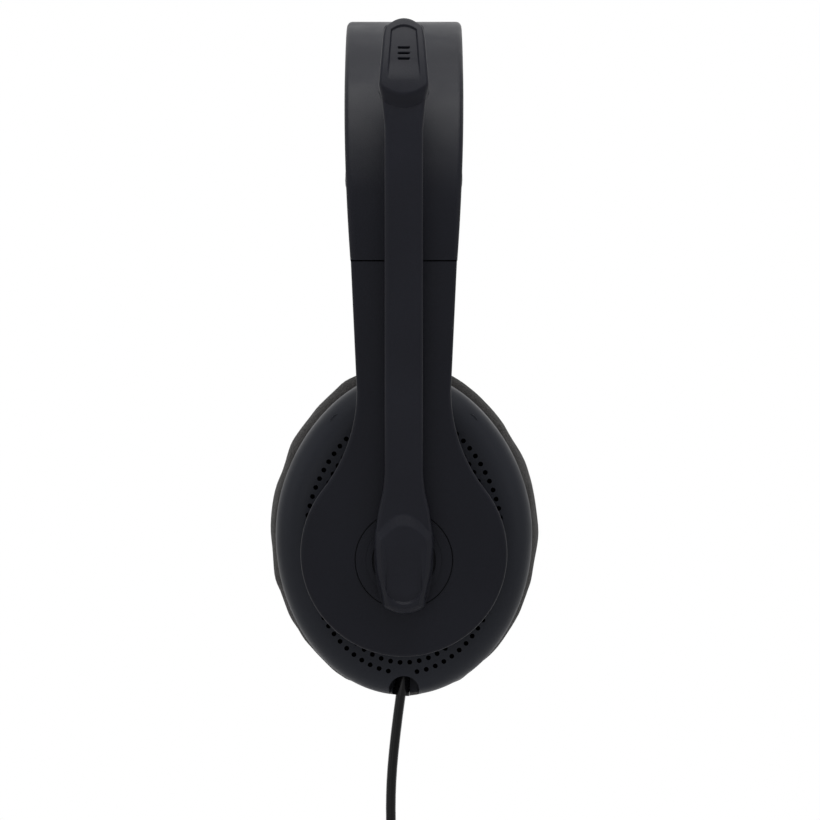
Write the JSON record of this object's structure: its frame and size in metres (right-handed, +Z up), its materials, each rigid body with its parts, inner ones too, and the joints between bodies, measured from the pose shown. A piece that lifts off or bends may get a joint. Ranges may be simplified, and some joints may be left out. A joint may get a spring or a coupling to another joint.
{
  "type": "office headset",
  "caption": "Wired over-ear office headset: wide plastic headband, spoon-shaped sliding arms, egg-shaped ear cups with fabric cushions, swinging boom microphone, cord and jack plug.",
  "frame": {"origin": "middle of the headband pad's underside, where the wearer's head carries it", "axes": "+Z up, +X to the wearer's left with the microphone boom, -Y the way the wearer looks"},
  "size_m": [0.1746, 0.077, 0.3669],
  "materials": {
    "black_plastic": "fine matte texture",
    "inner_plastic": "smooth matte",
    "fabric": "short napped knit",
    "cloth": "thin acoustic cloth",
    "diaphragm": "thin film",
    "steel": "plain",
    "rubber": "satin",
    "board": "solder mask",
    "gold": "plated"
  },
  "bodies": {
    "headband": {"headband_outer_cover": "black_plastic", "headband_inner_cover": "inner_plastic", "headband_spring_strip": "steel", "headband_pad": "fabric", "headband_screws": "steel", "left_slider_rail": "steel", "right_slider_rail": "steel"},
    "left_arm": {"left_arm_shell": "black_plastic", "left_arm_cover": "inner_plastic", "left_slider_detent": "steel", "left_arm_screws": "steel", "left_swivel_stud": "steel"},
    "left_gimbal": {"left_gimbal_ring": "steel", "left_gimbal_pins": "steel"},
    "left_cup": {"left_cup_shell": "black_plastic", "left_baffle": "inner_plastic", "left_cup_screws": "steel", "left_driver_frame": "inner_plastic", "left_driver_diaphragm": "diaphragm", "left_driver_magnet": "steel", "left_cushion_plate": "inner_plastic", "left_ear_cushion": "fabric", "left_ear_cloth": "cloth", "left_strain_relief": "rubber", "left_circuit_board": "board", "cord_tube": "rubber", "cord_coil": "rubber", "cord_tie": "cloth", "cord_tail": "rubber", "plug_body": "rubber", "plug_contact": "gold"},
    "right_arm": {"right_arm_shell": "black_plastic", "right_arm_cover": "inner_plastic", "right_slider_detent": "steel", "right_arm_screws": "steel", "right_swivel_stud": "steel", "right_blank_disc": "black_plastic"},
    "right_gimbal": {"right_gimbal_ring": "steel", "right_gimbal_pins": "steel"},
    "right_cup": {"right_cup_shell": "black_plastic", "right_baffle": "inner_plastic", "right_cup_screws": "steel", "right_driver_frame": "inner_plastic", "right_driver_diaphragm": "diaphragm", "right_driver_magnet": "steel", "right_cushion_plate": "inner_plastic", "right_ear_cushion": "fabric", "right_ear_cloth": "cloth"},
    "boom": {"boom_turret_disc": "black_plastic", "boom_retaining_clip": "steel", "boom_pivot_screw": "steel", "boom_inner_shell": "black_plastic", "boom_outer_shell": "black_plastic", "boom_mic_cover": "black_plastic", "boom_microphone": "steel"}
  },
  "joints": [
    {"name": "left_slider", "type": "slide", "parent": "headband", "child": "left_arm", "axis": [-0.0523, 0, -0.9986], "range_m": [0, 0.02]},
    {"name": "left_swivel", "type": "hinge", "parent": "left_arm", "child": "left_gimbal", "pos_m": [0.06291, 0, -0.13982], "axis": [0.0523, 0, 0.9986], "range_deg": [-5, 5]},
    {"name": "left_tilt", "type": "hinge", "parent": "left_gimbal", "child": "left_cup", "pos_m": [0.06291, 0, -0.13982], "axis": [0, 1, 0], "range_deg": [-4, 4]},
    {"name": "right_slider", "type": "slide", "parent": "headband", "child": "right_arm", "axis": [0.0523, 0, -0.9986], "range_m": [0, 0.02]},
    {"name": "right_swivel", "type": "hinge", "parent": "right_arm", "child": "right_gimbal", "pos_m": [-0.06291, 0, -0.13982], "axis": [-0.0523, 0, 0.9986], "range_deg": [-5, 5]},
    {"name": "right_tilt", "type": "hinge", "parent": "right_gimbal", "child": "right_cup", "pos_m": [-0.06291, 0, -0.13982], "axis": [0, 1, 0], "range_deg": [-4, 4]},
    {"name": "boom_swing", "type": "hinge", "parent": "left_arm", "child": "boom", "pos_m": [0.07849, 0, -0.14064], "axis": [0.9986, 0, -0.0523], "range_deg": [-135, 135]}
  ]
}
